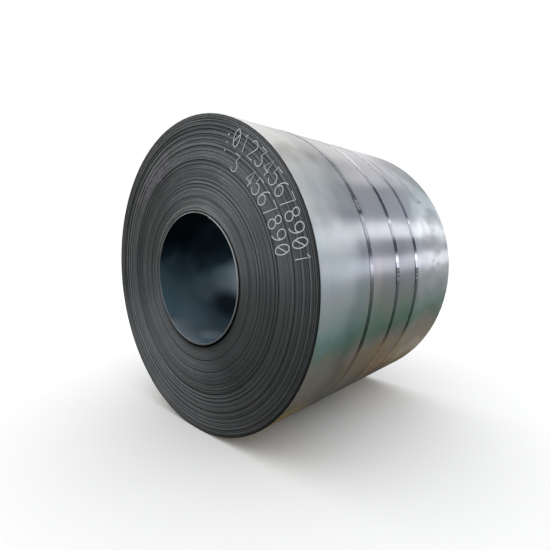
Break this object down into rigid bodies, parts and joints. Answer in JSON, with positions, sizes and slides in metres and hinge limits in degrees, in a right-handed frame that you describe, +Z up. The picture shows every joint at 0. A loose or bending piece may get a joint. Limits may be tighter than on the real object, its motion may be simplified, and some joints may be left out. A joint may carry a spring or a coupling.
{
  "type": "steel coil",
  "caption": "Lying coil of hot-rolled steel strip with a plain through bore, stepped wound ends and narrow steel straps closed by crimped seals.",
  "frame": {"origin": "on the floor under the middle of the coil", "axes": "+Z up, the coil's axis along Y with its near end at -Y, +X to the right as seen from the near end"},
  "size_m": [1.8557, 1.516, 1.8524],
  "materials": {
    "hot_rolled_steel": "hot-rolled strip with tight blue-grey scale, soft sheen on the outer turn, dark cut edges on the ends",
    "strap_steel": "blued steel strapping, smooth and dark",
    "seal_steel": "crimped sheet-steel seal, bare"
  },
  "bodies": {
    "root": {"coil": "hot_rolled_steel", "strap_1": "strap_steel", "strap_2": "strap_steel", "strap_3": "strap_steel", "seal_1": "seal_steel", "seal_2": "seal_steel", "seal_3": "seal_steel"}
  },
  "joints": []
}
